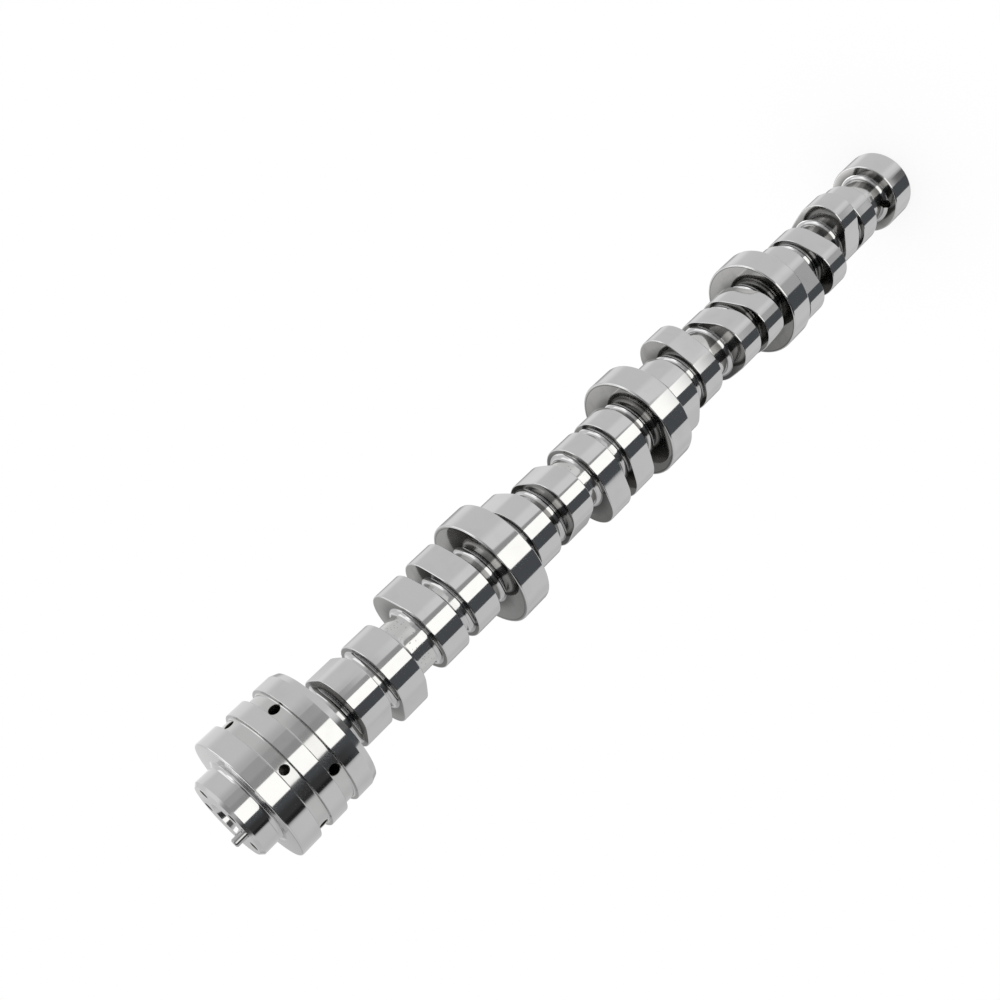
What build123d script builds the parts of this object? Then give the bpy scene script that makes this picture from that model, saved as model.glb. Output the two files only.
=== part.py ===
"""Camshaft of a V8 engine with one camshaft in the block and a cam phaser on its nose.

One forged steel shaft carries the phaser nose, a grooved front journal that passes
oil to the phaser, sixteen lobes in four bays, three middle journals and a small rear
journal. A dowel pin pressed into the nose sets the phaser's angle.

The shaft stands on its rear face: the origin is at the centre of that face and +Z runs
up to the nose. Stations are measured from the nose face back, as on a grinding drawing.
Millimetres throughout.
"""
from build123d import *
import os
from math import atan2, cos, radians, sin, sqrt, tan

# ---- journals and stations -------------------------------------------------
bore_pitch = 113.3              # cylinder bore spacing, and so bay length
second_journal_station = 158.4  # nose face to the middle of the second journal
rear_span = 125.8               # middle of the fourth journal to middle of the rear one
middle_journal_radii = (28.9, 28.7, 28.5)
middle_journal_width = 15.8
rear_journal_radius = 21.8
rear_journal_width = 17.8
journal_chamfer = 0.8
rear_end_chamfer = 1.0

# ---- phaser nose and front journal -----------------------------------------
nose_radius = 20.0
nose_length = 10.7
nose_chamfer = 1.4
nose_fillet = 2.2
front_journal_radius = 31.0
front_land_width = 10.3
middle_land_width = 8.2
rear_land_width = 8.1
front_journal_lead_in = 3.1     # length of the shallow cone behind the rear land
front_journal_lead_drop = 1.2   # how far that cone falls
oil_groove_width = 6.2
oil_groove_depth = 2.2

# ---- lobes -----------------------------------------------------------------
firing_order = (1, 8, 4, 3, 6, 5, 7, 2)
lobe_width = 14.5
lobe_chamfer = 0.5
base_circle_radius = 18.8
lobe_lift = 8.0
lobe_nose_radius = 15.4
lobe_flank_radius = 200.0
lobe_pitch = 21.0               # between the two lobes of a pair
pair_offset = 32.3              # middle of a journal to the middle of the next pair
lobe_separation = 112.0         # exhaust peak to intake peak of one cylinder, degrees
tappet_bank_angle = 150.0       # between the two banks of tappets, degrees
first_intake_angle = 27.0       # intake peak of cylinder one, about +Z from +X, degrees

# ---- necks between them ----------------------------------------------------
neck_radius = 14.0
neck_fillet = 2.4

# ---- oil ways, threaded bore, pin and centres ------------------------------
oil_way_count = 5
supply_hole_radius = 2.0        # front groove to the nose face
supply_first_angle = 53.0
supply_circle_radius = 15.0
return_hole_radius = 2.4        # rear groove to the central bore
return_first_angle = 24.0
return_clearance = 1.0          # gallery floor past the return holes
bolt_drill_radius = 5.1         # tapping size of an M12 x 1.75 thread
bolt_drill_depth = 30.0
nose_centre_radius = 9.2        # mouth of the grinding centre round the bolt bore
gallery_radius = 3.5            # oil gallery below the bolt
drill_point_angle = 118.0
pin_radius = 2.0
pin_circle_radius = 15.0
pin_angle = 238.5
pin_seat_depth = 9.0
pin_stand_out = 5.5
pin_chamfer = 0.5
vent_hole_radius = 2.6
vent_circle_radius = 15.2       # it cuts a little way into the neck
vent_angle = 223.0
rear_centre_radius = 4.0        # mouth of the grinding centre
centre_angle = 60.0             # both grinding centres
rear_centre_pilot_radius = 1.6
rear_centre_pilot_depth = 6.0
overshoot = 1.0                 # how far a cutter starts outside the face it enters

# ---- places worked out from the sizes above --------------------------------
front_journal_front = nose_length
front_groove_front = front_journal_front + front_land_width
middle_land_front = front_groove_front + oil_groove_width
rear_groove_front = middle_land_front + middle_land_width
rear_land_front = rear_groove_front + oil_groove_width
rear_land_back = rear_land_front + rear_land_width
front_journal_back = rear_land_back + front_journal_lead_in
supply_middle = front_groove_front + oil_groove_width / 2
return_middle = rear_groove_front + oil_groove_width / 2

journal_stations = [second_journal_station + bay * bore_pitch for bay in range(3)]
rear_journal_station = journal_stations[-1] + rear_span
shaft_length = rear_journal_station + rear_journal_width / 2

firing_step = 360.0 / len(firing_order)
root_radius = neck_radius + neck_fillet


def height(station):
    """Z of a station measured back from the nose face."""
    return shaft_length - station


def firing_angle(cylinder):
    return firing_order.index(cylinder) * firing_step


def intake_angle(cylinder):
    bank_turn = 0.0 if cylinder % 2 else tappet_bank_angle
    return first_intake_angle + bank_turn + firing_angle(cylinder)


def exhaust_angle(cylinder):
    return intake_angle(cylinder) - lobe_separation


def lobe_table():
    """Front station and peak angle of every lobe, from the nose to the rear.

    A bay serves one cylinder of each bank. Its lobes run exhaust and intake of
    alternate banks: odd exhaust, even intake, odd intake, even exhaust.
    """
    rows = []
    for bay in range(4):
        odd = 2 * bay + 1
        even = odd + 1
        back_journal = second_journal_station + bay * bore_pitch
        front_pair = back_journal - bore_pitch + pair_offset
        rear_pair = back_journal - pair_offset
        middles = (
            front_pair - lobe_pitch / 2,
            front_pair + lobe_pitch / 2,
            rear_pair - lobe_pitch / 2,
            rear_pair + lobe_pitch / 2,
        )
        angles = (exhaust_angle(odd), intake_angle(even), intake_angle(odd), exhaust_angle(even))
        for middle, angle in zip(middles, angles):
            rows.append((middle - lobe_width / 2, angle))
    return rows


def lobe_outline():
    """Closed cam outline with its peak on +X: base arc, two flank arcs and a nose arc."""
    nose_centre = base_circle_radius + lobe_lift - lobe_nose_radius
    to_base = lobe_flank_radius - base_circle_radius
    to_nose = lobe_flank_radius - lobe_nose_radius
    flank_x = (to_base**2 - to_nose**2 + nose_centre**2) / (2 * nose_centre)
    flank_y = sqrt(to_base**2 - flank_x**2)
    base_end = atan2(flank_y, -flank_x)
    nose_end = atan2(flank_y, nose_centre - flank_x)

    def on_flank(angle, side):
        x = flank_x + lobe_flank_radius * cos(angle)
        y = lobe_flank_radius * sin(angle) - flank_y
        return (x, side * y)

    def flank(side):
        middle = (base_end + nose_end) / 2
        return ThreePointArc(on_flank(nose_end, side), on_flank(middle, side), on_flank(base_end, side))

    peak = (base_circle_radius + lobe_lift, 0)
    heel = (-base_circle_radius, 0)
    nose = ThreePointArc(on_flank(nose_end, -1), peak, on_flank(nose_end, 1))
    base = ThreePointArc(on_flank(base_end, 1), heel, on_flank(base_end, -1))
    return make_face([nose, flank(1), base, flank(-1)])


def lobe(front_station, angle):
    blank = extrude(lobe_outline(), lobe_width)
    rims = blank.edges().filter_by(GeomType.LINE, reverse=True)
    blank = chamfer(rims, lobe_chamfer)
    return Pos(0, 0, height(front_station + lobe_width)) * Rot(0, 0, angle) * blank


def disc(front_station, back_station, radius, front_cut, back_cut, back_drop=None):
    """A turned land with a chamfer on each rim. back_drop makes the rear one a shallow cone."""
    if back_drop is None:
        back_drop = back_cut
    outline = [
        (0, height(front_station)),
        (radius - front_cut, height(front_station)),
        (radius, height(front_station + front_cut)),
        (radius, height(back_station - back_cut)),
        (radius - back_drop, height(back_station)),
        (0, height(back_station)),
    ]
    return revolve(Plane.XZ * make_face(Polyline(*outline, close=True)), Axis.Z)


def neck(front_station, back_station):
    """The shaft between two shoulders, with a fillet up to each of them."""
    top = height(front_station)
    bottom = height(back_station)
    bend = neck_fillet * (1 - sqrt(0.5))
    edges = [
        Line((0, top), (root_radius, top)),
        ThreePointArc(
            (root_radius, top), (neck_radius + bend, top - bend), (neck_radius, top - neck_fillet)
        ),
        Line((neck_radius, top - neck_fillet), (neck_radius, bottom + neck_fillet)),
        ThreePointArc(
            (neck_radius, bottom + neck_fillet), (neck_radius + bend, bottom + bend), (root_radius, bottom)
        ),
        Line((root_radius, bottom), (0, bottom)),
        Line((0, bottom), (0, top)),
    ]
    return revolve(Plane.XZ * make_face(edges), Axis.Z)


def phaser_nose():
    """Snout for the cam phaser, with the fillet that runs up to the front journal."""
    face = height(0)
    shoulder = height(nose_length)
    bend = nose_fillet * (1 - sqrt(0.5))
    edges = [
        Line((0, face), (nose_radius - nose_chamfer, face)),
        Line((nose_radius - nose_chamfer, face), (nose_radius, face - nose_chamfer)),
        Line((nose_radius, face - nose_chamfer), (nose_radius, shoulder + nose_fillet)),
        ThreePointArc(
            (nose_radius, shoulder + nose_fillet),
            (nose_radius + bend, shoulder + bend),
            (nose_radius + nose_fillet, shoulder),
        ),
        Line((nose_radius + nose_fillet, shoulder), (0, shoulder)),
        Line((0, shoulder), (0, face)),
    ]
    return revolve(Plane.XZ * make_face(edges), Axis.Z)


def front_journal():
    """Wide first journal: three lands with two oil grooves between them."""
    body = disc(
        front_journal_front,
        front_journal_back,
        front_journal_radius,
        journal_chamfer,
        front_journal_lead_in,
        front_journal_lead_drop,
    )
    floor_radius = front_journal_radius - oil_groove_depth
    for groove_front in (front_groove_front, rear_groove_front):
        groove = Cylinder(front_journal_radius + overshoot, oil_groove_width)
        groove -= Cylinder(floor_radius, oil_groove_width)
        body -= Pos(0, 0, height(groove_front + oil_groove_width / 2)) * groove
    return body


def shoulders():
    """Front and back station of everything that stands above the necks, in order."""
    spans = [(front_journal_front, front_journal_back)]
    spans += [(front, front + lobe_width) for front, _ in lobe_table()]
    half = middle_journal_width / 2
    spans += [(station - half, station + half) for station in journal_stations]
    spans.append((shaft_length - rear_journal_width, shaft_length))
    return sorted(spans)


def cylinder_up(radius, bottom, top):
    return Pos(0, 0, (bottom + top) / 2) * Cylinder(radius, top - bottom)


def spoke(radius, inner, outer, station, angle):
    """Radial drilling from one radius out to another."""
    drill = Rot(0, 90, 0) * Cylinder(radius, outer - inner)
    return Pos(0, 0, height(station)) * Rot(0, 0, angle) * Pos((inner + outer) / 2, 0, 0) * drill


def spot(circle_radius, angle):
    return Pos(circle_radius * cos(radians(angle)), circle_radius * sin(radians(angle)), 0)


def oil_ways():
    """Supply ways from the front groove to the nose face, returns from the rear groove."""
    ways = []
    step = 360.0 / oil_way_count
    outside = front_journal_radius + overshoot
    for index in range(oil_way_count):
        supply = supply_first_angle + index * step
        way = cylinder_up(supply_hole_radius, height(supply_middle), height(0) + overshoot)
        ways.append(spot(supply_circle_radius, supply) * way)
        ways.append(spoke(supply_hole_radius, supply_circle_radius, outside, supply_middle, supply))
        ways.append(spoke(return_hole_radius, 0, outside, return_middle, return_first_angle + index * step))
    return ways


def drill_point(radius):
    """Length of the cone that a twist drill of this radius leaves."""
    return radius / tan(radians(drill_point_angle / 2))


def bolt_bore():
    """Grinding centre, bore for the phaser bolt at its tapping size, and the gallery below."""
    floor = height(bolt_drill_depth)
    step = floor - drill_point(bolt_drill_radius) + drill_point(gallery_radius)
    gallery_floor = height(return_middle + return_hole_radius + return_clearance)
    flare = tan(radians(centre_angle / 2))
    centre_depth = (nose_centre_radius - bolt_drill_radius) / flare
    outline = [
        (0, height(0) + overshoot),
        (nose_centre_radius + overshoot * flare, height(0) + overshoot),
        (bolt_drill_radius, height(centre_depth)),
        (bolt_drill_radius, floor),
        (gallery_radius, step),
        (gallery_radius, gallery_floor),
        (0, gallery_floor - drill_point(gallery_radius)),
    ]
    return revolve(Plane.XZ * make_face(Polyline(*outline, close=True)), Axis.Z)


def rear_centre():
    """Centre that the rear end was ground on: a cone with a pilot drilling at its tip."""
    cone_depth = (rear_centre_radius - rear_centre_pilot_radius) / tan(radians(centre_angle / 2))
    pilot_floor = cone_depth + rear_centre_pilot_depth
    outline = [
        (0, 0),
        (rear_centre_radius, 0),
        (rear_centre_pilot_radius, cone_depth),
        (rear_centre_pilot_radius, pilot_floor),
        (0, pilot_floor + drill_point(rear_centre_pilot_radius)),
    ]
    return revolve(Plane.XZ * make_face(Polyline(*outline, close=True)), Axis.Z)


def pin_seat():
    bottom = height(pin_seat_depth)
    return spot(pin_circle_radius, pin_angle) * cylinder_up(pin_radius, bottom, height(0) + overshoot)


def vent_way():
    top = rear_journal_width + neck_fillet
    return spot(vent_circle_radius, vent_angle) * cylinder_up(vent_hole_radius, -overshoot, top)


def build_camshaft():
    shaft = phaser_nose() + front_journal()
    half = middle_journal_width / 2
    for station, radius in zip(journal_stations, middle_journal_radii):
        shaft += disc(station - half, station + half, radius, journal_chamfer, journal_chamfer)
    shaft += disc(
        shaft_length - rear_journal_width,
        shaft_length,
        rear_journal_radius,
        journal_chamfer,
        rear_end_chamfer,
    )
    spans = shoulders()
    for (_, front), (back, _) in zip(spans, spans[1:]):
        shaft += neck(front, back)
    for front, angle in lobe_table():
        shaft += lobe(front, angle)
    for cut in oil_ways() + [bolt_bore(), rear_centre(), pin_seat(), vent_way()]:
        shaft -= cut
    return shaft


def build_dowel_pin():
    length = pin_seat_depth + pin_stand_out
    pin = cylinder_up(pin_radius, height(pin_seat_depth), height(0) + pin_stand_out)
    pin = chamfer(pin.edges().filter_by(GeomType.CIRCLE), pin_chamfer)
    return spot(pin_circle_radius, pin_angle) * pin


if __name__ == "__main__":
    os.makedirs("parts", exist_ok=True)
    camshaft = build_camshaft()
    dowel_pin = build_dowel_pin()
    export_step(camshaft, "parts/camshaft.step")
    export_step(dowel_pin, "parts/dowel_pin.step")
    print(f"shaft length {shaft_length:.1f}, lobes {len(lobe_table())}")
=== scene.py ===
# %% [markdown]
# # A ground steel camshaft
#
# A camshaft is one forging. Its journals and lobes are ground to a mirror, the faces
# beside them are turned, and the necks between them keep some of the forging's skin.
# This lesson dresses the finished solid: the shape is made again with fine rings, so
# that reflections run clean, and each kind of machining gets a finish of its own.
# The shaft stands on its rear face, with the nose for the cam phaser at the top.

from math import atan2, cos, degrees, pi, radians, sin, sqrt, tan

import bpy
import numpy as np
from mathutils import Matrix, Vector


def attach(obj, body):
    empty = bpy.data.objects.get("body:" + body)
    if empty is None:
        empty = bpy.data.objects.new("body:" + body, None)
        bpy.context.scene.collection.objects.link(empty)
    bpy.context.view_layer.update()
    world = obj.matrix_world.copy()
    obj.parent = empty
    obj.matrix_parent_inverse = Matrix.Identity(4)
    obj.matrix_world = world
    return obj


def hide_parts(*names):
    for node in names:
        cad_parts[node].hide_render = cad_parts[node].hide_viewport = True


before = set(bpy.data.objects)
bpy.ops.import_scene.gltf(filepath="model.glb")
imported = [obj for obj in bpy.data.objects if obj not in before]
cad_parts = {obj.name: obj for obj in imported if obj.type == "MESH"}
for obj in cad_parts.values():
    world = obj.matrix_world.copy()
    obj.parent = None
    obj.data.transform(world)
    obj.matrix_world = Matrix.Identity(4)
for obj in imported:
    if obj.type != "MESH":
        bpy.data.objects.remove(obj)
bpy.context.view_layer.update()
mm = 0.001
print("pieces in the frame:", sorted(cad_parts))

# %% [markdown]
# ## The camera
#
# The shaft stands on its rear face, but it looks best laid across the frame from one
# corner to the other. So the camera is turned far over on its side. It could be aimed
# at an empty with a constraint, but a place and three angles say it more plainly:
# where it looks round the compass, how far it looks down, and how far it is rolled
# about its own line of sight.

# %% Camera
camera_place = Vector((12.997, -495.883, 575.681)) * mm
camera_heading = radians(-1.338)    # right of +Y
camera_pitch = radians(-29.168)     # below the horizon
camera_roll = radians(-134.238)
camera_lens = 41.761                # millimetres, on the sensor below
camera_sensor = 36.0
camera_shift = (-0.0731, -0.0206)   # puts the shaft's middle a little off the frame's


def add_camera():
    data = bpy.data.cameras.new("camera")
    data.lens = camera_lens
    data.sensor_width = camera_sensor
    data.shift_x, data.shift_y = camera_shift
    camera = bpy.data.objects.new("camera", data)
    bpy.context.scene.collection.objects.link(camera)
    forward = Vector((
        sin(camera_heading) * cos(camera_pitch),
        cos(camera_heading) * cos(camera_pitch),
        sin(camera_pitch),
    ))
    level_right = forward.cross(Vector((0, 0, 1))).normalized()
    level_up = level_right.cross(forward)
    right = level_right * cos(camera_roll) + level_up * sin(camera_roll)
    up = level_up * cos(camera_roll) - level_right * sin(camera_roll)
    turn = Matrix((right, up, -forward)).transposed().to_4x4()
    camera.matrix_world = Matrix.Translation(camera_place) @ turn
    bpy.context.scene.camera = camera
    return camera


camera = add_camera()
bpy.context.scene.view_settings.view_transform = "Standard"
print("camera looks down by", round(-degrees(camera_pitch), 1), "degrees")

# %% [markdown]
# ## Helpers for node trees
#
# The world, the floor and every finish are node trees. Wired by hand in the editor they
# would be quick to start and slow to change, so a few helpers write them down as sums:
# each takes numbers or other nodes' outputs, adds one node, and hands its output on.

# %% Node helpers
def add_node(tree, kind, **settings):
    node = tree.nodes.new("ShaderNode" + kind)
    for name, value in settings.items():
        setattr(node, name, value)
    return node


def plug(tree, socket, value):
    """Puts a number, a colour or another node's output into a socket."""
    if isinstance(value, bpy.types.NodeSocket):
        tree.links.new(value, socket)
    else:
        socket.default_value = value


def math(tree, operation, *values):
    node = add_node(tree, "Math", operation=operation)
    for socket, value in zip(node.inputs, values):
        plug(tree, socket, value)
    return node.outputs[0]


def smooth_step(tree, value, start, end):
    node = add_node(tree, "MapRange", interpolation_type="SMOOTHSTEP")
    for name, entry in (("Value", value), ("From Min", start), ("From Max", end)):
        plug(tree, node.inputs[name], entry)
    return node.outputs["Result"]


def mix_colour(tree, factor, a, b):
    node = add_node(tree, "Mix", data_type="RGBA")
    colours = [s for s in node.inputs if s.type == "RGBA"]
    plug(tree, node.inputs[0], factor)
    for socket, colour in zip(colours, (a, b)):
        plug(tree, socket, (*colour, 1.0) if isinstance(colour, tuple) else colour)
    return [s for s in node.outputs if s.type == "RGBA"][0]


def inside(tree, value, span, edge):
    """One between the two ends of a span, nought outside, with soft edges."""
    rise = smooth_step(tree, value, span[0] - edge, span[0] + edge)
    fall = smooth_step(tree, value, span[1] - edge, span[1] + edge)
    return math(tree, "MULTIPLY", rise, math(tree, "SUBTRACT", 1.0, fall))


print("node helpers: add_node, plug, math, smooth_step, mix_colour, inside")

# %% [markdown]
# ## The studio
#
# Polished steel has hardly any colour of its own. What shows is the room, so the room
# has to be right: a pale tent, one white card and one black flag beside it that draw
# the bright and the dark stripe down every round surface. Real cards could be placed,
# but a world that knows a direction's compass angle and height does the same with no
# extra light on the floor. Only glossy rays see the cards. Camera rays see white.

# %% Studio cards
# Each card: compass angles from and to, heights from and to, soft edges, brightness.
# The compass runs from -Y, where the camera is, towards -X. All angles in degrees.
# A lean moves a card along the compass for each degree below a height.
tent_level = 0.80
studio_cards = {
    "far left wall": ((-178, -118), (-70, 10), (10, 12), 0.96),
    "left wall": ((-178, -52), (5, 46), (10, 4), 0.86),
    "left lamp": ((-118, -55), (6, 30), (4, 4), 1.50),
    "upper left": ((-135, -92), (40, 72), (6, 6), 1.00),
    "upper left lamp": ((-97, -72), (34, 54), (4, 3), 1.90),
    "near wall": ((-44, -2), (-38, -17), (8, 4), 0.94),
    "near wall foot": ((-20, -2), (-60, -34), (8, 4), 0.94),
    "right wall": ((66, 178), (-5, 8), (6, 4), 0.62),
    "far right wall": ((115, 178), (-60, 50), (14, 8), 0.70),
    "behind left": ((181, 206), (9, 60), (5, 4), 0.78),
    "behind left high": ((181, 206), (30, 60), (5, 2), 1.32),
    "behind left top": ((181, 210), (45, 64), (5, 2), 2.30),
    "behind": ((152, 180.5), (7, 62), (4, 4), 0.52),
    "behind top": ((152, 180.5), (45, 60), (4, 2), 0.72),
    "dark behind": ((152, 180.5), (24, 41), (4, 4), 0.30),
    "ceiling": ((-90, 75), (50, 90), (12, 5), 0.38),
    "dark above": ((-60, 50), (57, 72), (8, 3), 0.14),
    "grey approach": ((-52, 14), (-14, 58), (12, 3), 0.60),
    "grey wall": ((-38.5, 14), (-14.5, 58), (0.8, 2), 0.49),
    "grey wall edge": ((-19, 14), (-13, 48), (3, 2), 0.41),
    "grey foot": ((-21, 8), (-34, -14), (2.5, 2.5), 0.42),
    "dark approach": ((-48, -5), (45, 60), (1, 2), 0.12),
    "white card": ((-5, 48), (-37, 58), (0.6, 2), 1.65),
    "white card end": ((6, 48), (-75, -39), (3, 2), 0.54),
    "white card foot": ((9, 48), (-49.2, -47.5), (3, 0.5), 0.76),
    "floor strip": ((12, 48), (-90, -49.4), (3, 0.4), 0.17),
    "black flag": ((29.3, 68), (-80, 66), (0.6, 4), 0.100),
    "black flag shade": ((42, 68), (-13, 66), (8, 1.5), 0.052),
    "black flag edge": ((60, 68), (-12.5, 20), (3.5, 0.6), 0.020),
    "black flag side": ((60, 77), (30, 52), (2, 4), 0.055),
    "black flag top": ((42, 88), (44, 70), (4, 4), 0.040),
    "black flag overhead": ((60, 109), (54, 76), (5, 4), 0.070),
    "floor behind": ((150, 210), (-70, -15), (12, 8), 0.40),
    "overhead lamp": ((-30, 40), (70, 90), (14, 4), 0.62),
}
card_leans = {"black flag": (-10, 0.14), "grey foot": (-16, 0.65)}
card_tints = {"white card": (1.0, 0.995, 0.97), "black flag": (0.93, 1.0, 1.08)}
print("studio cards:", len(studio_cards))

# %% [markdown]
# ## The studio as a world
#
# The table becomes one chain of mixes. The world's own direction gives a compass angle
# and a height, each card is one inside its span of both and nought outside, and its
# tone is laid over what came before it. A later card covers an earlier one, as a real
# card does when it stands nearer. Behind the shaft the compass jumps from 180 to -180,
# so a card there counts its angles on past 180 instead.

# %% Studio world


def compass_and_height(tree):
    """Angle round from -Y towards -X, and angle above the horizon, both in degrees."""
    place = add_node(tree, "TexCoord").outputs["Generated"]
    parts = add_node(tree, "SeparateXYZ")
    plug(tree, parts.inputs[0], place)
    x, y, z = parts.outputs
    towards_left = math(tree, "MULTIPLY", x, -1.0)
    towards_camera = math(tree, "MULTIPLY", y, -1.0)
    compass = math(tree, "ARCTAN2", towards_left, towards_camera)
    height = math(tree, "ARCSINE", z)
    return math(tree, "DEGREES", compass), math(tree, "DEGREES", height)


def lean(tree, compass, height, name):
    """The compass angle as a leaning card sees it."""
    if name not in card_leans:
        return compass
    start, slope = card_leans[name]
    below = math(tree, "MAXIMUM", math(tree, "SUBTRACT", start, height), 0.0)
    return math(tree, "SUBTRACT", compass, math(tree, "MULTIPLY", below, slope))


def build_studio():
    world = bpy.data.worlds.new("studio")
    bpy.context.scene.world = world
    world.use_nodes = True
    world.cycles.sampling_method = "NONE"
    tree = world.node_tree
    tree.nodes.clear()
    compass, height = compass_and_height(tree)
    back_compass = math(tree, "FLOORED_MODULO", compass, 360.0)
    colour = (tent_level, tent_level, tent_level)
    for name, (sides, heights, (side_edge, end_edge), level) in studio_cards.items():
        angle = back_compass if sides[1] > 180 else lean(tree, compass, height, name)
        across = inside(tree, angle, sides, side_edge)
        along = inside(tree, height, heights, end_edge)
        tint = card_tints.get(name, (1.0, 1.0, 1.0))
        card = tuple(level * part for part in tint)
        colour = mix_colour(tree, math(tree, "MULTIPLY", across, along), colour, card)
    rays = add_node(tree, "LightPath")
    seen = mix_colour(tree, rays.outputs["Is Glossy Ray"], (1.0, 1.0, 1.0), colour)
    background = add_node(tree, "Background")
    plug(tree, background.inputs["Color"], seen)
    output = add_node(tree, "OutputWorld")
    tree.links.new(background.outputs[0], output.inputs["Surface"])
    return world


studio = build_studio()
print("nodes in the studio world:", len(studio.node_tree.nodes))

# %% [markdown]
# ## The floor
#
# The floor is a plain white disc. A shadow catcher would do the same for one picture,
# but it leaves a hole where the floor should be. Here the floor glows to the camera as
# white as the background does, and only a part of its real, shaded colour is let
# through near the shaft, so that the contact shadow stays and its far edge can't be
# seen. It lies a hair below the shaft's end, so that the two faces don't flicker.

# %% Floor
floor_radius = 6000 * mm
floor_points = 96
floor_gap = 0.02 * mm
shadow_reach = 130 * mm             # where the shadow has faded into plain white
shadow_share = 0.22                 # how much of the shadow shows beside the shaft


def build_floor():
    bpy.ops.mesh.primitive_circle_add(
        vertices=floor_points, radius=floor_radius, fill_type="NGON"
    )
    floor = bpy.context.object
    floor.name = "floor"
    floor.location.z = -floor_gap
    floor.visible_glossy = False
    material = bpy.data.materials.new("white_floor")
    material.use_nodes = True
    tree = material.node_tree
    tree.nodes.clear()
    paint = add_node(tree, "BsdfDiffuse")
    paint.inputs["Color"].default_value = (1.0, 1.0, 1.0, 1.0)
    glow = add_node(tree, "Emission")
    rays = add_node(tree, "LightPath")
    place = add_node(tree, "NewGeometry").outputs["Position"]
    distance = add_node(tree, "VectorMath", operation="LENGTH")
    plug(tree, distance.inputs[0], place)
    fade = smooth_step(tree, distance.outputs["Value"], 0.0, shadow_reach)
    shown = math(tree, "MULTIPLY", math(tree, "SUBTRACT", 1.0, fade), shadow_share)
    to_camera = add_node(tree, "MixShader")
    plug(tree, to_camera.inputs[0], shown)
    tree.links.new(glow.outputs[0], to_camera.inputs[1])
    tree.links.new(paint.outputs[0], to_camera.inputs[2])
    either = add_node(tree, "MixShader")
    plug(tree, either.inputs[0], rays.outputs["Is Camera Ray"])
    tree.links.new(paint.outputs[0], either.inputs[1])
    tree.links.new(to_camera.outputs[0], either.inputs[2])
    output = add_node(tree, "OutputMaterial")
    tree.links.new(either.outputs[0], output.inputs["Surface"])
    floor.data.materials.append(material)
    return floor


floor = build_floor()
print("floor is", round(2 * floor_radius, 1), "m across")

# %% [markdown]
# ## Sizes of the shaft
#
# The sizes are those of the solid, in millimetres. They could be read off the solid's
# mesh, but its facets are coarse, so they are written down again. Stations are measured
# back from the nose face. Everything else follows from the bay length, the journals and
# the firing order, so the rings below land where the solid's edges are.

# %% Sizes of the journals
shaft_length = 519.7
bore_pitch = 113.3                  # from one cylinder to the next, and so bay length
second_journal_station = 158.4
middle_journal_radii = (28.9, 28.7, 28.5)
middle_journal_width = 15.8
rear_journal_radius = 21.8
rear_journal_width = 17.8
edge_break = 0.8
rear_edge_break = 1.0

middle_stations = [second_journal_station + bay * bore_pitch for bay in range(3)]
rear_journal_front = shaft_length - rear_journal_width


def height(station):
    """Z in metres of a station in millimetres."""
    return (shaft_length - station) * mm


print("middle journals at", [round(station, 1) for station in middle_stations])

# %% [markdown]
# The nose and the front journal carry the cam phaser and its oil. The journal is one
# bearing's width, and its two grooves leave three lands.

# %% Sizes of the nose and the front journal
nose_radius = 20.0
nose_length = 10.7
nose_edge_break = 1.4
nose_fillet = 2.2
front_journal_radius = 31.0
front_land_width = 10.3
middle_land_width = 8.2
rear_land_width = 8.1
front_journal_lead_in = 3.1
front_journal_lead_drop = 1.2
oil_groove_width = 6.2
oil_groove_depth = 2.2
print("the front journal is", 2 * front_journal_radius, "mm across")

# %% [markdown]
# A lobe is set by five sizes: the circle it idles on, its lift, the radius of its nose,
# that of its nearly flat flanks, and its width. Three angles then place all sixteen.

# %% Sizes of the lobes and the necks
firing_order = (1, 8, 4, 3, 6, 5, 7, 2)
lobe_width = 14.5
lobe_edge_break = 0.5
base_circle_radius = 18.8
lobe_lift = 8.0
lobe_nose_radius = 15.4
lobe_flank_radius = 200.0
lobe_pitch = 21.0                   # between the two lobes of a pair
pair_offset = 32.3                  # from a journal's middle to the next pair's
lobe_separation = 112.0             # degrees, exhaust peak to intake peak
tappet_bank_angle = 150.0           # degrees, from one bank of tappets to the other
first_intake_angle = 27.0           # degrees round from +X

neck_radius = 14.0
neck_fillet = 2.4
root_radius = neck_radius + neck_fillet
print("a lobe reaches from", base_circle_radius, "to", base_circle_radius + lobe_lift, "mm")

# %% [markdown]
# ## Rings
#
# A camshaft is round about its axis everywhere, in the sense that a ray from the axis
# meets the surface once. So the whole shaft can be one stack of rings, each with the
# same number of points, joined strip by strip. A lathe profile would do for the
# journals, but not for the lobes, whose radius changes on the way round.

# %% Ring stack
points_around = 160
turn_angles = np.linspace(0.0, 2 * pi, points_around, endpoint=False)
ring_stations = []
ring_radii = []
strip_finishes = []                 # finish of the strip behind each ring


def ring(station, radii, finish):
    ring_stations.append(station)
    ring_radii.append(np.ones(points_around) * radii)
    strip_finishes.append(finish)


def turned(profile, finish):
    """Rings through (station, radius) points of a lathe profile."""
    for station, radius in profile:
        ring(station, radius, finish)


def quarter(centre_station, centre_radius, radius, start, end, steps):
    """Points of a profile arc. Angle 0 points to the rear, 90 outwards."""
    angles = np.radians(np.linspace(start, end, steps + 1))
    return [(centre_station + radius * cos(a), centre_radius + radius * sin(a)) for a in angles]


print("rings of", points_around, "points")

# %% [markdown]
# ## The nose and the front journal
#
# The phaser slides on the nose and its oil comes through the two grooves of the front
# journal. Corners that a grinding wheel leaves are rounded a little, and that rounding
# is what draws the thin bright lines, so every edge has a few rings of its own. A bevel
# modifier would round all edges alike; rings let each one have the size it needs. Where
# the finish changes at an edge, two rings lie on each other, so that the shading of one
# side doesn't run into the other.

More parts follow.
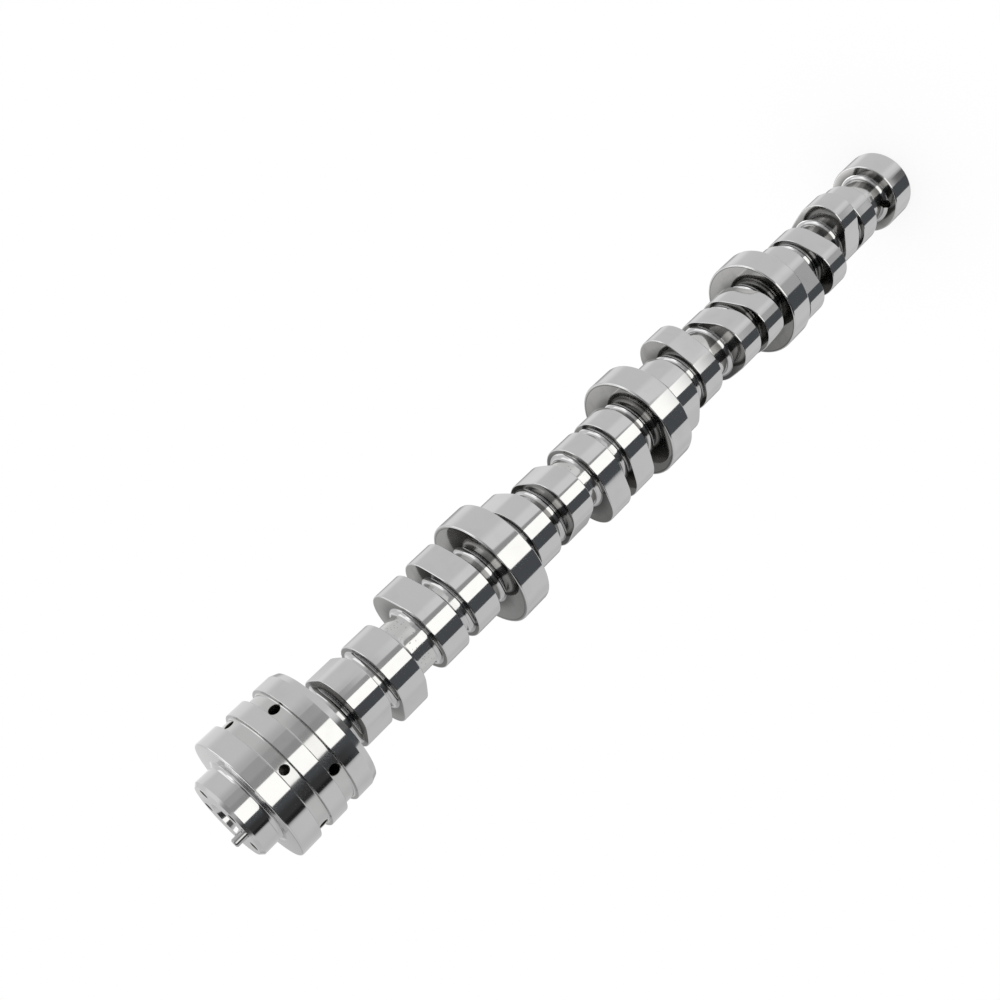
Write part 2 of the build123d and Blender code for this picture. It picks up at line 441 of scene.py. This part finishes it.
# %% Nose and front journal
edge_steps = 3
fillet_steps = 6
groove_corner = 0.7                 # radius in the bottom corners of the oil grooves
land_edge = 0.25                    # edge break beside the grooves
cone_hold = 0.15                    # a ring this near each end keeps the cone's shading flat


def round_edge(station, radius, size, side, steps=edge_steps):
    """Outer edge rounded over. side is -1 at the front of a land and 1 at its rear."""
    centre = station - side * size
    if side < 0:
        return quarter(centre, radius - size, size, 180, 90, steps)
    return quarter(centre, radius - size, size, 90, 0, steps)


def build_nose():
    turned([(0, nose_radius - nose_edge_break), (nose_edge_break, nose_radius)], "edge")
    ring(nose_edge_break, nose_radius, "ground")
    root = nose_length - nose_fillet
    centre = nose_radius + nose_fillet
    ring(root, nose_radius, "fillet")
    turned(quarter(root, centre, nose_fillet, -90, 0, fillet_steps), "fillet")
    strip_finishes[-1] = "turned"


def build_front_journal():
    outer = front_journal_radius
    floor_radius = outer - oil_groove_depth
    start = nose_length
    turned(round_edge(start, outer, edge_break, -1), "edge")
    for land in (front_land_width, middle_land_width):
        end = start + land
        ring(ring_stations[-1], outer, "ground")
        turned(round_edge(end, outer, land_edge, 1), "turned")
        back = end + oil_groove_width
        corner = floor_radius + groove_corner
        front_corner = (end + groove_corner, corner, groove_corner, 180, 270, edge_steps)
        back_corner = (back - groove_corner, corner, groove_corner, 270, 360, edge_steps)
        turned(quarter(*front_corner), "turned")
        turned(quarter(*back_corner), "turned")
        strip_finishes[-1] = "face"
        turned(round_edge(back, outer, land_edge, -1), "edge")
        start = back
    ring(ring_stations[-1], outer, "ground")
    end = start + rear_land_width
    slope = front_journal_lead_drop / front_journal_lead_in
    cone = (0.0, cone_hold, front_journal_lead_in - cone_hold, front_journal_lead_in)
    turned([(end + along, outer - along * slope) for along in cone], "edge")
    strip_finishes[-1] = "rear"
    return end + front_journal_lead_in


build_nose()
front_journal_back = build_front_journal()
print("front journal ends at station", round(front_journal_back, 2))

# %% [markdown]
# ## Lobes
#
# A lobe's outline is a base circle, a smaller nose circle beyond it and two nearly flat
# flanks that touch both. A bezier curve could be bent to it by eye, but a cam is drawn
# with arcs that touch, and those have a formula: seen from the shaft's axis each arc is
# a radius that depends on the angle, which is what a ring needs.

# %% Lobe outline


def lobe_radii(peak_angle, inset):
    """Radius at each ring point of a lobe that peaks at an angle, moved in by an inset."""
    nose_reach = base_circle_radius + lobe_lift - lobe_nose_radius
    to_base = lobe_flank_radius - base_circle_radius
    to_nose = lobe_flank_radius - lobe_nose_radius
    flank_x = (to_base**2 - to_nose**2 + nose_reach**2) / (2 * nose_reach)
    flank_y = sqrt(to_base**2 - flank_x**2)
    base_end = atan2(flank_y, -flank_x)
    nose_end = atan2(flank_y, nose_reach - flank_x)
    nose_tip = (nose_reach + lobe_nose_radius * cos(nose_end), lobe_nose_radius * sin(nose_end))
    nose_limit = atan2(nose_tip[1], nose_tip[0])
    away = np.abs((turn_angles - peak_angle + pi) % (2 * pi) - pi)

    def hit(centre_x, centre_y, radius):
        along = centre_x * np.cos(away) + centre_y * np.sin(away)
        return along + np.sqrt(along**2 - centre_x**2 - centre_y**2 + (radius - inset) ** 2)

    base = hit(0.0, 0.0, base_circle_radius)
    flank = hit(flank_x, -flank_y, lobe_flank_radius)
    nose = hit(nose_reach, 0.0, lobe_nose_radius)
    return np.where(away > base_end, base, np.where(away > nose_limit, flank, nose))


print("a lobe peaks at", round(lobe_radii(0.0, 0.0).max(), 2), "mm")

# %% [markdown]
# ## Where the lobes point
#
# Sixteen angles could be typed in, but they all follow from how the engine runs. Each
# cylinder fires an eighth of a turn after the one before it in the firing order, the
# tappets of even cylinders stand in the other bank, and an exhaust lobe comes a fixed
# angle before the intake lobe of its cylinder. A bay holds two pairs of lobes, for one
# cylinder of each bank.

# %% Lobe table


def lobe_table():
    """Front station and peak angle of each lobe, from the nose to the rear."""
    step = 2 * pi / len(firing_order)
    rows = []
    for bay in range(4):
        odd = 2 * bay + 1
        back_journal = second_journal_station + bay * bore_pitch
        pairs = (back_journal - bore_pitch + pair_offset, back_journal - pair_offset)
        middles = [pair + side * lobe_pitch / 2 for pair in pairs for side in (-1, 1)]
        duties = ((odd, 1), (odd + 1, 0), (odd, 0), (odd + 1, 1))   # cylinder, exhaust or not
        for middle, (cylinder, exhaust) in zip(middles, duties):
            bank = radians(tappet_bank_angle) * (cylinder % 2 == 0)
            angle = radians(first_intake_angle) + bank + firing_order.index(cylinder) * step
            rows.append((middle - lobe_width / 2, angle - exhaust * radians(lobe_separation)))
    return rows


lobes = lobe_table()
print("lobes:", len(lobes), "the first at station", round(lobes[0][0], 2))

# %% [markdown]
# ## Necks, lobes and journals in order
#
# The necks between lobes of a pair are turned clean. The wide necks keep the skin of the
# forging under a quick polish: it shines, but it isn't true, so its rings get slow waves
# a few hundredths of a millimetre deep. Waves made of whole turns close up on themselves.

# %% Forging skin
wide_neck = 9.0                     # longer necks than this keep forging skin
skin_depth = 0.03
skin_step = 0.8                     # between rings, and fine enough for the waves
skin_fade = 2.0                     # the waves die out over this length at each end
rng = np.random.default_rng(7)


def new_waves():
    """Whole turns, pitch along the shaft, weight and start of each wave of one neck."""
    rows = []
    for turns in range(2, 9):
        pitch = rng.uniform(7.0, 16.0) * rng.choice((-1, 1))
        rows.append((turns, pitch, 1.6 / turns, rng.uniform(0, 2 * pi)))
    return rows


def skin_waves(waves, station, front, back):
    """Depth of the forging's waves at each ring point, nought at both ends."""
    depth = np.zeros(points_around)
    for turns, pitch, weight, start in waves:
        depth += weight * np.sin(turns * turn_angles + station * 2 * pi / pitch + start)
    ends = min(1.0, (station - front) / skin_fade, (back - station) / skin_fade)
    return skin_depth * depth * max(0.0, ends)


print("skin waves stay within about", skin_depth, "mm each")

# %% [markdown]
# ## Necks
#
# A neck is a plain bar with a quarter circle up to the shoulder at each end. It could
# be a cylinder with two bevels, but as a profile it joins the ring stack like the rest.
# Only a neck with skin needs rings along its middle, to carry the waves.

# %% Necks


def neck(front, back):
    finish = "skin" if back - front > wide_neck else "turned"
    waves = new_waves()
    steps = fillet_steps if finish == "skin" else fillet_steps - 1
    middle = []
    if finish == "skin":
        count = int((back - front - 2 * neck_fillet) / skin_step)
        stations = np.linspace(front + neck_fillet, back - neck_fillet, count + 1)
        middle = [(station, neck_radius) for station in stations[1:-1]]
    parts = (
        (quarter(front + neck_fillet, root_radius, neck_fillet, 180, 270, steps), "fillet"),
        (middle, finish),
        (quarter(back - neck_fillet, root_radius, neck_fillet, 270, 360, steps), "fillet"),
    )
    for profile, part_finish in parts:
        for station, radius in profile:
            lift = skin_waves(waves, station, front, back) if finish == "skin" else 0.0
            ring(station, radius + lift, part_finish)
        if part_finish == "fillet":
            strip_finishes[-1] = finish
    strip_finishes[-1] = "face"


print("necks wider than", wide_neck, "mm keep their skin")

# %% [markdown]
# ## Lobes and journals
#
# A lobe is two rounded edges with one ground strip between them, and the same outline
# all the way. The edge is the outline moved in a little, ring by ring, which stays even
# where a scaled copy would grow thick at the nose. Journals are plain lathe profiles.

# %% Lobes and journals


def lobe(front, peak_angle):
    for side, edge in ((-1, front), (1, front + lobe_width)):
        angles = np.radians(np.linspace(90, 0, edge_steps + 1))
        if side < 0:
            angles = angles[::-1]
        for angle in angles:
            inset = lobe_edge_break * (1 - sin(angle))
            station = edge - side * lobe_edge_break * (1 - cos(angle))
            ring(station, lobe_radii(peak_angle, inset), "edge")
        strip_finishes[-1] = "ground" if side < 0 else "rear"


def journal(front, back, radius, rear_break):
    turned(round_edge(front, radius, edge_break, -1), "edge")
    strip_finishes[-1] = "ground"
    turned(round_edge(back, radius, rear_break, 1), "edge")
    strip_finishes[-1] = "rear"


def bodies_in_order():
    """(front, back, maker, its sizes) of each lobe and journal behind the front one."""
    rows = [(front, front + lobe_width, lobe, (front, angle)) for front, angle in lobes]
    for station, radius in zip(middle_stations, middle_journal_radii):
        front = station - middle_journal_width / 2
        back = front + middle_journal_width
        rows.append((front, back, journal, (front, back, radius, edge_break)))
    rear = (rear_journal_front, shaft_length)
    rows.append((*rear, journal, (*rear, rear_journal_radius, rear_edge_break)))
    return sorted(rows, key=lambda row: row[0])


def build_bodies():
    front = front_journal_back
    for body_front, body_back, make, body_sizes in bodies_in_order():
        neck(front, body_front)
        make(*body_sizes)
        front = body_back


build_bodies()
print("rings:", len(ring_stations), "triangles:", 2 * points_around * len(ring_stations))

# %% [markdown]
# ## From rings to a closed mesh
#
# Each strip is a row of quads, and a fan closes either end. A skin or a screw modifier
# could sweep a profile too, but neither can change it on the way round as a lobe does.
# The finish of each strip becomes the material of its faces, so the nine materials are
# made here, still bare, and get their nodes further on.

# %% Shaft mesh
finish_names = (
    "ground", "edge", "turned", "fillet", "face", "rear", "skin", "drilled", "thread",
)


def circle_points(z, angles, radii):
    """One ring of mesh points at a height in metres, radii in millimetres."""
    return [(r * cos(a) * mm, r * sin(a) * mm, z) for a, r in zip(angles, radii)]


def shaft_mesh():
    verts = []
    for station, radii in zip(ring_stations, ring_radii):
        verts += circle_points(height(station), turn_angles, radii)
    faces, finishes = [], []
    rows = len(ring_stations)
    for row in range(rows - 1):
        top, bottom = row * points_around, (row + 1) * points_around
        for i in range(points_around):
            j = (i + 1) % points_around
            faces.append((top + i, bottom + i, bottom + j, top + j))
            finishes.append(finish_names.index(strip_finishes[row]))
    ends = ((0, 0.0, False, "turned"), (rows - 1, shaft_length, True, "rear"))
    for row, station, flip, finish in ends:
        middle = len(verts)
        verts.append((0.0, 0.0, height(station)))
        for i in range(points_around):
            j = (i + 1) % points_around
            a, b = row * points_around + i, row * points_around + j
            faces.append((middle, b, a) if flip else (middle, a, b))
            finishes.append(finish_names.index(finish))
    mesh = bpy.data.meshes.new("ground_camshaft")
    mesh.from_pydata(verts, [], faces)
    mesh.polygons.foreach_set("material_index", finishes)
    mesh.update()
    return mesh


shaft = bpy.data.objects.new("ground_camshaft", shaft_mesh())
bpy.context.scene.collection.objects.link(shaft)
finishes = {name: bpy.data.materials.new("shaft_" + name) for name in finish_names}
for material in finishes.values():
    shaft.data.materials.append(material)
print("shaft mesh:", len(shaft.data.vertices), "points")

# %% [markdown]
# ## Drillings
#
# Five ways bring oil from the front groove up to the nose face, five more lead from the
# rear groove to the gallery under the bolt, and a vent runs through the rear journal.
# A hole could be a dark disc laid on the surface, but light has to fall into it, so the
# holes are cut. The sizes are those of the solid, but for the gallery's floor: its depth
# is taken to the point here, so the floor lies 2 mm higher than in the solid.

# %% Sizes of the drillings
oil_way_count = 5
supply_hole_radius = 2.0
supply_first_angle = 53.0
supply_circle_radius = 15.0
return_hole_radius = 2.4
return_first_angle = 24.0
gallery_radius = 3.5
gallery_start = 25.0                # inside the bolt bore, meant to join the two
gallery_depth = 42.0                # down to the point
gallery_point = 2.0
pin_radius = 2.0
pin_circle_radius = 15.0
pin_angle = 238.5
pin_seat_depth = 9.0
pin_seat_play = 0.03                # keeps the seat's wall off the pin's
vent_hole_radius = 2.6
vent_circle_radius = 15.2
vent_angle = 223.0
rear_centre_radius = 4.0
rear_pilot_radius = 1.6
rear_pilot_depth = 6.0
rear_pilot_point = 1.0
centre_flare = tan(radians(30))     # a grinding centre is a cone of 60 degrees

supply_middle = nose_length + front_land_width + oil_groove_width / 2
return_middle = supply_middle + oil_groove_width + middle_land_width
groove_floor_radius = front_journal_radius - oil_groove_depth
print("oil ways at stations", round(supply_middle, 2), "and", round(return_middle, 2))

# %% [markdown]
# ## A drill
#
# A drill is a round bar, made from a profile as the shaft is, and taken away from the
# mesh later. Each has a short cone at its mouth for the broken edge, which catches the
# light as a thin ring. The bar wears the finish that its hole's wall is to have.

# %% A drill and where it goes
drill_points = 40
mouth_break = 0.25                  # width of the broken edge round a hole's mouth
mouth_over = 0.1                    # how far the cone runs past the face it opens in
overshoot = 1.0
blunt_tip = 0.05                    # a point is a very small disc, so it can be closed


def drill(profile):
    """A closed round tool along +Z from (distance, radius) points, in millimetres."""
    angles = [2 * pi * i / drill_points for i in range(drill_points)]
    verts, faces = [], []
    for distance, radius in profile:
        verts += circle_points(distance * mm, angles, [radius] * drill_points)
    for row in range(len(profile) - 1):
        for i in range(drill_points):
            a, b = row * drill_points + i, row * drill_points + (i + 1) % drill_points
            faces.append((a, b, b + drill_points, a + drill_points))
    faces.append(tuple(range(drill_points))[::-1])
    faces.append(tuple(range((len(profile) - 1) * drill_points, len(profile) * drill_points)))
    mesh = bpy.data.meshes.new("drill")
    mesh.from_pydata(verts, [], faces)
    mesh.materials.append(finishes["drilled"])
    return bpy.data.objects.new("drill", mesh)


def mouth_profile(start, mouth, radius):
    """A bar from start to past the mouth, opening into the broken edge on the way."""
    wide = radius + mouth_break + mouth_over
    return [
        (start, radius),
        (mouth - mouth_break, radius),
        (mouth + mouth_over, wide),
        (mouth + overshoot, wide),
    ]


def along_shaft(tool, circle_radius, angle):
    """Stands a tool at a point of a circle, with its distances counted as heights."""
    turn = radians(angle)
    spot = Vector((circle_radius * cos(turn), circle_radius * sin(turn), 0)) * mm
    tool.matrix_world = Matrix.Translation(spot)
    return tool


def across_shaft(tool, station, angle):
    """Lays a tool on its side so that its distances are radii at a station."""
    lay = Matrix.Rotation(radians(angle), 4, "Z") @ Matrix.Rotation(pi / 2, 4, "Y")
    tool.matrix_world = Matrix.Translation((0, 0, height(station))) @ lay
    return tool


print("a drill has", drill_points, "sides")

# %% [markdown]
# ## The set of drills
#
# The ways repeat every 72 degrees, so one turn of a loop makes three drills: up to the
# nose face, out to the front groove, and in from the rear groove. After them come the
# pin's seat, the gallery, the vent and the centre that the rear end was ground on.

# %% Drill set


def drill_tools():
    top = shaft_length
    tools = []
    for index in range(oil_way_count):
        supply = supply_first_angle + index * 360.0 / oil_way_count
        back = return_first_angle + index * 360.0 / oil_way_count
        up = drill(mouth_profile(top - supply_middle, top, supply_hole_radius))
        out = drill(mouth_profile(supply_circle_radius, groove_floor_radius, supply_hole_radius))
        home = drill(mouth_profile(0.0, groove_floor_radius, return_hole_radius))
        tools.append(along_shaft(up, supply_circle_radius, supply))
        tools.append(across_shaft(out, supply_middle, supply))
        tools.append(across_shaft(home, return_middle, back))
    seat = drill(mouth_profile(top - pin_seat_depth, top, pin_radius + pin_seat_play))
    tools.append(along_shaft(seat, pin_circle_radius, pin_angle))
    gallery = drill([
        (top - gallery_depth, 2 * blunt_tip),
        (top - gallery_depth + gallery_point, gallery_radius),
        (top - gallery_start, gallery_radius),
    ])
    tools.append(along_shaft(gallery, 0, 0))
    vent_end = rear_journal_width + neck_fillet
    vent = drill([(-overshoot, vent_hole_radius), (vent_end, vent_hole_radius)])
    tools.append(along_shaft(vent, vent_circle_radius, vent_angle))
    before = overshoot / 2
    cone = (rear_centre_radius - rear_pilot_radius) / centre_flare
    centre = drill([
        (-before, rear_centre_radius + before * centre_flare),
        (cone, rear_pilot_radius),
        (cone + rear_pilot_depth, rear_pilot_radius),
        (cone + rear_pilot_depth + rear_pilot_point, blunt_tip),
    ])
    tools.append(along_shaft(centre, 0, 0))
    return tools


oil_and_pin_tools = drill_tools()
print("drills:", len(oil_and_pin_tools))

# %% [markdown]
# ## The bolt bore and its thread
#
# The bolt's bore opens in a wide cone of 60 degrees, the centre that the shaft was
# ground on, so the cone gets the bright finish of an edge. Below it the solid keeps the
# bore at its tapping size. A screw modifier could wind a thread as a piece of its own,
# but then two surfaces would cross inside the bore. Here the tool itself carries the
# thread: it is another stack of rings, and each ring point steps out by the thread's
# depth as the helix passes it, so the ridges climb round the bore and fade out below.

# %% Bolt bore tool
bolt_drill_radius = 5.1
bolt_drill_depth = 30.0
nose_centre_radius = 9.2
thread_radius = 6.0
thread_pitch = 1.75
thread_depth = 26.0
thread_runout = 3.0                 # the ridges fade out over this length
thread_points = 64
rings_a_turn = 12
ridge_height = 1.35                 # over 1 it is cut off flat, which makes the crest
ridge_slope = 3.2
cone_shares = (0.4, 0.75)           # where the bright rings of the cone lie
drill_point_flare = tan(radians(59))


def bolt_bore_rows():
    """(height in millimetres, radii) of each ring, from above the nose face down."""
    top = shaft_length
    angles = np.linspace(0, 2 * pi, thread_points, endpoint=False)
    cone_depth = (nose_centre_radius - thread_radius) / centre_flare
    rows = []
    for distance in (-overshoot, *(share * cone_depth for share in cone_shares)):
        rows.append((top - distance, nose_centre_radius - distance * centre_flare))
    for distance in np.arange(cone_depth - 1.0, thread_depth, thread_pitch / rings_a_turn):
        phase = (distance / thread_pitch + angles / (2 * pi)) % 1.0
        ridge = np.clip(ridge_height - np.abs(phase - 0.5) * ridge_slope, 0.0, 1.0)
        fade = min(1.0, (thread_depth - distance) / thread_runout)
        radii = bolt_drill_radius + (thread_radius - bolt_drill_radius) * ridge * fade
        cone = nose_centre_radius - distance * centre_flare
        rows.append((top - distance, np.maximum(radii, cone)))
    floor = top - bolt_drill_depth
    rows.append((floor, bolt_drill_radius))
    rows.append((floor - bolt_drill_radius / drill_point_flare, blunt_tip))
    return angles, rows


def thread_tool():
    angles, rows = bolt_bore_rows()
    points = thread_points
    verts, faces, on_cone = [], [], []
    for z, radii in rows:
        verts += circle_points(z * mm, angles, np.ones(points) * radii)
    for row in range(len(rows) - 1):
        for i in range(points):
            a, b = row * points + i, row * points + (i + 1) % points
            faces.append((a, a + points, b + points, b))
            on_cone.append(row <= len(cone_shares))
    faces.append(tuple(range(points)))
    faces.append(tuple(range((len(rows) - 1) * points, len(rows) * points))[::-1])
    mesh = bpy.data.meshes.new("tap")
    mesh.from_pydata(verts, [], faces)
    mesh.materials.append(finishes["thread"])
    mesh.materials.append(finishes["edge"])
    for face, cone in zip(mesh.polygons, on_cone):
        face.material_index = int(cone)
    return bpy.data.objects.new("tap", mesh)


bolt_tool = thread_tool()
print("bolt bore tool:", len(bolt_tool.data.polygons), "faces")

# %% [markdown]
# ## Cutting the holes
#
# Each tool is a boolean on the shaft. The exact solver is slower than the fast one, but
# it hands a tool's finish over to the wall it cuts. It leaves one known fault inside:
# above the five return ways the gallery's wall is missing, with an open edge there, and
# the drill point of the bolt bore closes the way down to the gallery. The solid has both
# right. The place lies deep inside, and only a look down the bolt bore or slantwise in
# through a return way could reach it.
#
# The modifiers are then turned into a plain mesh, so that the tools can go. Last, the
# true corners are marked sharp, and the long ground faces are let to set the normals
# where they meet a narrow rounding. Without that their reflections bend at each edge.

# %% Cut the drillings
true_corner = radians(35)
ground_weight = 50


def keep_result(piece):
    """Makes what the modifiers show the piece's own mesh."""
    bpy.context.view_layer.update()
    graph = bpy.context.evaluated_depsgraph_get()
    mesh = bpy.data.meshes.new_from_object(piece.evaluated_get(graph))
    piece.modifiers.clear()
    piece.data = mesh


def cut_all(piece, tools):
    """Takes every tool away from the piece."""
    for tool in tools:
        bpy.context.scene.collection.objects.link(tool)
        cut = piece.modifiers.new("cut", "BOOLEAN")
        cut.operation = "DIFFERENCE"
        cut.solver = "EXACT"
        cut.material_mode = "TRANSFER"
        cut.object = tool
    keep_result(piece)
    for tool in tools:
        bpy.data.objects.remove(tool)


def weigh_normals(piece):
    weigh = piece.modifiers.new("weigh", "WEIGHTED_NORMAL")
    weigh.mode = "FACE_AREA"
    weigh.weight = ground_weight
    weigh.keep_sharp = True
    keep_result(piece)


cut_all(shaft, oil_and_pin_tools + [bolt_tool])
print("cut shaft:", len(shaft.data.vertices), "points,", len(shaft.data.polygons), "faces")
shaft.data.shade_smooth()
shaft.data.set_sharp_from_angle(angle=true_corner)
weigh_normals(shaft)
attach(shaft, "root")
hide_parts("camshaft")

# %% [markdown]
# ## Finishes
#
# All of these are the same steel, so they share one recipe: metal whose colour and
# gloss drift a little over some millimetres, with the marks of its own machining as a
# bump. Tools leave marks that run round the shaft, so a mark's noise is made from the
# radius and the height only, and comes out as rings on a face and bands on a cylinder.
# The angle round the shaft is used a little too, or the rings would be too perfect.

# %% Finish table
# name: base brightness, warmth, roughness, stain, mark pitch in mm, mark depth in mm
finish_table = {
    "ground": (0.60, 0.000, 0.070, 0.09, 0.25, 0.0004),
    "edge": (0.60, 0.000, 0.110, 0.05, 0.30, 0.0008),
    "turned": (0.56, 0.002, 0.130, 0.10, 1.10, 0.0012),
    "fillet": (0.58, 0.000, 0.080, 0.08, 0.30, 0.0008),
    "face": (0.38, 0.004, 0.100, 0.28, 1.60, 0.0015),
    "rear": (0.22, 0.004, 0.200, 0.20, 0.70, 0.0030),
    "skin": (0.61, 0.003, 0.100, 0.16, 1.20, 0.0015),
    "drilled": (0.12, 0.004, 0.400, 0.20, 0.60, 0.0060),
    "thread": (0.40, 0.004, 0.220, 0.10, 0.50, 0.0020),
}
pitted = {"skin"}
# Radius where the painted shade at a root starts, where it has cleared, and its tone.
painted_root_shade = {"face": (15.5, 23.5, 0.40), "rear": (15.5, 23.5, 0.60)}
print("finishes:", ", ".join(finish_table))

# %% [markdown]
# ## Places on the steel
#
# An image would need the shaft unwrapped. Noise doesn't: it reads a place in space. Two
# kinds of place are needed, the plain one for stains and pits, and the round one, of
# radius, height and angle, for the marks of a tool that ran round the shaft.

# %% Places and noises
stain_size = 9.0                    # millimetres between darker patches
stain_wander = 0.5
pit_size = 1.3                      # millimetres between pits
pit_patch = 0.12                    # pits come in patches some 8 mm across
pit_growth = 0.38
pit_slope = 0.10


def round_coordinates(tree):
    """Position in millimetres, and (radius, height, angle) of the same spot."""
    place = add_node(tree, "TexCoord").outputs["Object"]
    scaled = add_node(tree, "VectorMath", operation="SCALE")
    plug(tree, scaled.inputs[0], place)
    scaled.inputs["Scale"].default_value = 1000.0
    parts = add_node(tree, "SeparateXYZ")
    plug(tree, parts.inputs[0], scaled.outputs[0])
    x, y, z = parts.outputs
    squares = math(tree, "ADD", math(tree, "MULTIPLY", x, x), math(tree, "MULTIPLY", y, y))
    radius = math(tree, "SQRT", squares)
    angle = math(tree, "ARCTAN2", y, x)
    return scaled.outputs[0], radius, z, angle


def noise(tree, vector, scale, detail=2.0, wander=0.0):
    node = add_node(tree, "TexNoise")
    plug(tree, node.inputs["Vector"], vector)
    node.inputs["Scale"].default_value = scale
    node.inputs["Detail"].default_value = detail
    node.inputs["Distortion"].default_value = wander
    return node.outputs["Fac"]


def swing(tree, value, amount):
    """Turns a noise of 0 to 1 into a factor that swings about one."""
    return math(tree, "MULTIPLY_ADD", math(tree, "SUBTRACT", value, 0.5), 2.0 * amount, 1.0)


def machine_marks(tree, radius, height, angle, pitch):
    """Noise that changes quickly across the tool's path and slowly along it."""
    joined = add_node(tree, "CombineXYZ")
    plug(tree, joined.inputs[0], math(tree, "DIVIDE", radius, pitch))
    plug(tree, joined.inputs[1], math(tree, "DIVIDE", height, pitch))
    plug(tree, joined.inputs[2], math(tree, "MULTIPLY", math(tree, "SINE", angle), 0.6))
    return noise(tree, joined.outputs[0], 1.0, 3.0)


def pits(tree, place):
    """Small shallow specks: one on clean steel, nought in the middle of a pit."""
    cells = add_node(tree, "TexVoronoi")
    plug(tree, cells.inputs["Vector"], place)
    cells.inputs["Scale"].default_value = 1.0 / pit_size
    size = math(tree, "MULTIPLY", noise(tree, place, pit_patch), pit_growth)
    floor = math(tree, "SUBTRACT", size, pit_slope)
    return smooth_step(tree, cells.outputs["Distance"], floor, size)


print("stains about", stain_size, "mm apart, pits about", pit_size, "mm")

# %% [markdown]
# ## The steel itself
#
# One recipe dresses every finish. The tone drifts with the stain, and the gloss drifts
# with it, because a stained patch is duller too. Faces get painted shade, darker towards
# their roots in the corner where they meet the neck, and carry one fine line that a tool
# left near the rim. Forging skin has pits. Tool marks are a bump, because they are only
# a few thousandths of a millimetre deep, far too shallow for a mesh.

# %% Steel recipe
rim_line = (27.1, 27.5)             # radii that the turned line lies between
rim_line_edge = 0.15
rim_line_depth = 0.55
pit_tone = 0.38                     # tone in the middle of a pit
pit_relief = 8.0                    # depth of a pit in marks


def dress(material, name, base, warmth, roughness, stain, mark_pitch, mark_depth):
    """Metal of one finish. Warmth moves its colour from grey towards straw."""
    material.use_nodes = True
    tree = material.node_tree
    shader = tree.nodes["Principled BSDF"]
    shader.inputs["Metallic"].default_value = 1.0
    place, radius, height, angle = round_coordinates(tree)
    cloud = noise(tree, place, 1.0 / stain_size, 4.0, stain_wander)
    marks = machine_marks(tree, radius, height, angle, mark_pitch)
    tone = swing(tree, cloud, stain)
    relief = marks
    # Painted shade: faces and rear faces darken towards their roots, where they meet the neck.
    if name in painted_root_shade:
        root, clear, dark = painted_root_shade[name]
        fade = smooth_step(tree, radius, root, clear)
        root_shade_tone = math(tree, "MULTIPLY_ADD", fade, 1.0 - dark, dark)
        tone = math(tree, "MULTIPLY", tone, root_shade_tone)
        line = inside(tree, radius, rim_line, rim_line_edge)
        line_tone = math(tree, "MULTIPLY_ADD", line, -rim_line_depth, 1.0)
        tone = math(tree, "MULTIPLY", tone, line_tone)
    if name in pitted:
        clean = pits(tree, place)
        pits_tone = math(tree, "MULTIPLY_ADD", clean, 1.0 - pit_tone, pit_tone)
        tone = math(tree, "MULTIPLY", tone, pits_tone)
        relief = math(tree, "ADD", marks, math(tree, "MULTIPLY", clean, pit_relief))
    steel = (base + warmth, base, base - 1.5 * warmth)
    plug(tree, shader.inputs["Base Color"], mix_colour(tree, tone, (0.0, 0.0, 0.0), steel))
    gloss = math(tree, "MULTIPLY", swing(tree, cloud, 2.0 * stain), roughness)
    plug(tree, shader.inputs["Roughness"], gloss)
    bump = add_node(tree, "Bump")
    bump.inputs["Distance"].default_value = mark_depth * mm
    plug(tree, bump.inputs["Height"], relief)
    plug(tree, shader.inputs["Normal"], bump.outputs[0])
    return material


for name, row in finish_table.items():
    dress(finishes[name], name, *row)
print("nodes in the ground finish:", len(finishes["ground"].node_tree.nodes))

# %% [markdown]
# ## The dowel pin
#
# The pin is bought in and hardened, and its surface is truer than the shaft's, so it
# gets a finish of its own by the same recipe. Its solid already has the right chamfered
# shape, so the pin isn't made again.

# %% Dowel pin
pin_row = (0.44, 0.0, 0.08, 0.03, 0.3, 0.0004)   # as a row of the finish table
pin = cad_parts["dowel_pin"]
pin_finish = dress(bpy.data.materials.new("bright_pin"), "pin", *pin_row)
pin.data.materials.clear()
pin.data.materials.append(pin_finish)
print("the pin wears", pin_finish.name)
